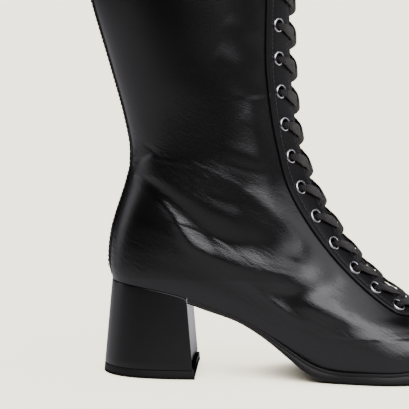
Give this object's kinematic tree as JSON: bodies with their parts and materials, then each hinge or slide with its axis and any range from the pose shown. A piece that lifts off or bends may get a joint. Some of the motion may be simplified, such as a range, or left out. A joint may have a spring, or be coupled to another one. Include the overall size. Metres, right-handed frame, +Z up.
{
  "type": "heeled lace-up boot",
  "caption": "Black leather mid-calf lace-up boot for the right foot, with a flared block heel, a thin sole and metal eyelets.",
  "frame": {"origin": "centre of the heel's resting face, on the floor", "axes": "+Z up, +X towards the toe, -Y the lateral side of a right boot"},
  "size_m": [0.2692, 0.11, 0.307],
  "materials": {
    "leather": "smooth black calf with a soft shine and fine grain",
    "facing_leather": "semi-matt black leather",
    "lining": "matt dark lining leather",
    "sole_rubber": "matt black sole edge",
    "top_piece_rubber": "matt black rubber",
    "eyelet_metal": "polished nickel",
    "lace_fabric": "flat woven black lace"
  },
  "bodies": {
    "root": {"upper": "leather", "facing": "facing_leather", "back_strip": "leather", "tongue": "facing_leather", "insole": "lining", "outsole": "sole_rubber", "heel_block": "leather", "heel_top_piece": "top_piece_rubber", "eyelet_lateral_01": "eyelet_metal", "eyelet_lateral_02": "eyelet_metal", "eyelet_lateral_03": "eyelet_metal", "eyelet_lateral_04": "eyelet_metal", "eyelet_lateral_05": "eyelet_metal", "eyelet_lateral_06": "eyelet_metal", "eyelet_lateral_07": "eyelet_metal", "eyelet_lateral_08": "eyelet_metal", "eyelet_lateral_09": "eyelet_metal", "eyelet_lateral_10": "eyelet_metal", "eyelet_lateral_11": "eyelet_metal", "eyelet_lateral_12": "eyelet_metal", "eyelet_lateral_13": "eyelet_metal", "eyelet_lateral_14": "eyelet_metal", "eyelet_medial_01": "eyelet_metal", "eyelet_medial_02": "eyelet_metal", "eyelet_medial_03": "eyelet_metal", "eyelet_medial_04": "eyelet_metal", "eyelet_medial_05": "eyelet_metal", "eyelet_medial_06": "eyelet_metal", "eyelet_medial_07": "eyelet_metal", "eyelet_medial_08": "eyelet_metal", "eyelet_medial_09": "eyelet_metal", "eyelet_medial_10": "eyelet_metal", "eyelet_medial_11": "eyelet_metal", "eyelet_medial_12": "eyelet_metal", "eyelet_medial_13": "eyelet_metal", "eyelet_medial_14": "eyelet_metal", "lace_crossing_01": "lace_fabric", "lace_crossing_02": "lace_fabric", "lace_crossing_03": "lace_fabric", "lace_crossing_04": "lace_fabric", "lace_crossing_05": "lace_fabric", "lace_crossing_06": "lace_fabric", "lace_crossing_07": "lace_fabric", "lace_crossing_08": "lace_fabric", "lace_crossing_09": "lace_fabric", "lace_crossing_10": "lace_fabric", "lace_crossing_11": "lace_fabric", "lace_crossing_12": "lace_fabric", "lace_crossing_13": "lace_fabric"}
  },
  "joints": []
}
